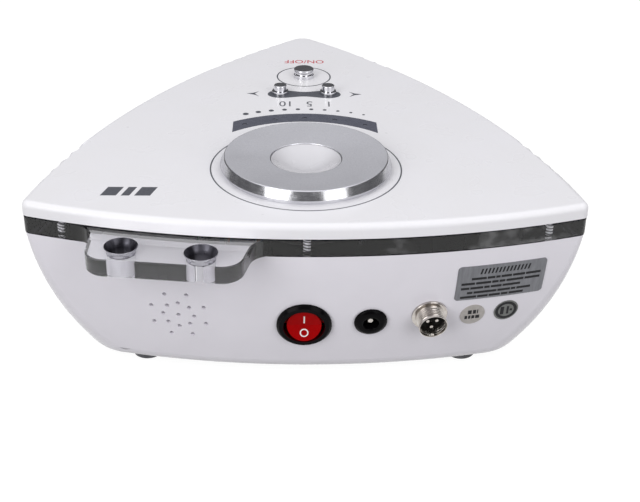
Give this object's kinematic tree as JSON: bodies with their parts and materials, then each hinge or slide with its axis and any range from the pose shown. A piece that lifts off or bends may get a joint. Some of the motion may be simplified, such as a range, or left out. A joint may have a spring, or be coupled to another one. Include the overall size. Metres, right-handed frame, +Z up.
{
  "type": "rf facial device",
  "caption": "Desk-top radio-frequency facial unit: three-sided case, clear plate with probe rests, metal ring with dish, push buttons and rear sockets.",
  "frame": {"origin": "on the table under the middle of the overall width and depth", "axes": "+X along the rear edge, to the right as seen from behind the sockets; +Y from the socket side to the nose; +Z up"},
  "size_m": [0.2288, 0.2418, 0.0867],
  "materials": {
    "shell_white": "glossy white injection moulding",
    "panel_white": "glossy white panel, printed",
    "clear_acrylic": "clear acrylic with polished edges",
    "tape": "foam bonding tape",
    "window_grey": "smoked window",
    "led_lens": "diffused lamp lens",
    "board_green": "solder-masked glass fibre board",
    "screw_steel": "zinc-plated steel",
    "ring_aluminium": "fine-turned top, polished flank",
    "dish_white": "white moulding",
    "chrome": "polished chrome",
    "black_plastic": "glossy black moulding",
    "rocker_red": "glossy red translucent moulding",
    "contact_metal": "tinned brass contacts",
    "label_grey": "brushed foil label, blank",
    "paper_pale": "pale paper sticker",
    "paper_dark": "dark foil sticker",
    "rubber_grey": "soft rubber foot",
    "black_inner": "matte black inner part",
    "paper_cone": "pressed paper cone",
    "ferrite": "ferrite",
    "copper_winding": "varnished copper wire",
    "fin_aluminium": "extruded aluminium",
    "capacitor_sleeve": "shrink sleeve",
    "relay_blue": "moulded relay case",
    "wire_sleeve": "flexible sleeve"
  },
  "bodies": {
    "case": {"lower_shell": "shell_white", "acrylic_plate": "clear_acrylic", "case_screws": "screw_steel", "panel_tape": "tape", "top_panel": "panel_white", "led_window": "window_grey", "status_leds": "led_lens", "control_board": "board_green", "control_board_screws": "screw_steel", "rest_ring": "ring_aluminium", "ring_dish": "dish_white", "ring_screws": "screw_steel", "probe_cup_left": "chrome", "probe_cup_right": "chrome", "rocker_housing": "black_plastic", "rocker_terminals": "contact_metal", "dc_jack": "black_plastic", "dc_jack_contacts": "contact_metal", "dc_jack_nut": "screw_steel", "output_socket": "chrome", "output_insert": "black_inner", "output_pins": "contact_metal", "output_nut": "chrome", "label_plate": "label_grey", "pale_sticker": "paper_pale", "dark_sticker": "paper_dark", "speaker_frame": "screw_steel", "speaker_cone": "paper_cone", "speaker_magnet": "ferrite", "foot_screws": "screw_steel", "main_board": "board_green", "main_board_screws": "screw_steel", "transformer_core": "ferrite", "transformer_winding": "copper_winding", "heat_sink": "fin_aluminium", "power_transistors": "black_inner", "capacitors": "capacitor_sleeve", "relay": "relay_blue", "control_chip": "black_inner", "board_headers": "dish_white", "ribbon_cable": "wire_sleeve", "power_leads": "wire_sleeve", "output_lead": "wire_sleeve", "speaker_lead": "wire_sleeve", "foot_left": "rubber_grey", "foot_right": "rubber_grey", "foot_front": "rubber_grey", "power_collar": "chrome", "power_switch": "black_inner", "intensity_up_collar": "chrome", "intensity_up_switch": "black_inner", "intensity_down_collar": "chrome", "intensity_down_switch": "black_inner"},
    "power_key": {"power_button": "chrome", "power_plunger": "black_inner"},
    "intensity_up_key": {"intensity_up_button": "chrome", "intensity_up_plunger": "black_inner"},
    "intensity_down_key": {"intensity_down_button": "chrome", "intensity_down_plunger": "black_inner"},
    "rocker": {"rocker": "rocker_red"}
  },
  "joints": [
    {"name": "power_press", "type": "slide", "parent": "case", "child": "power_key", "axis": [0, 0, -1], "range_m": [0, 0.001], "stiffness_N_per_m": 1200, "springref_m": -0.0003},
    {"name": "intensity_up_press", "type": "slide", "parent": "case", "child": "intensity_up_key", "axis": [0, 0, -1], "range_m": [0, 0.001], "stiffness_N_per_m": 1200, "springref_m": -0.0003},
    {"name": "intensity_down_press", "type": "slide", "parent": "case", "child": "intensity_down_key", "axis": [0, 0, -1], "range_m": [0, 0.001], "stiffness_N_per_m": 1200, "springref_m": -0.0003},
    {"name": "rocker_tilt", "type": "hinge", "parent": "case", "child": "rocker", "pos_m": [-0.00079, -0.09159, 0.03275], "axis": [1, -0.0023, 0], "range_deg": [0, 22]}
  ]
}
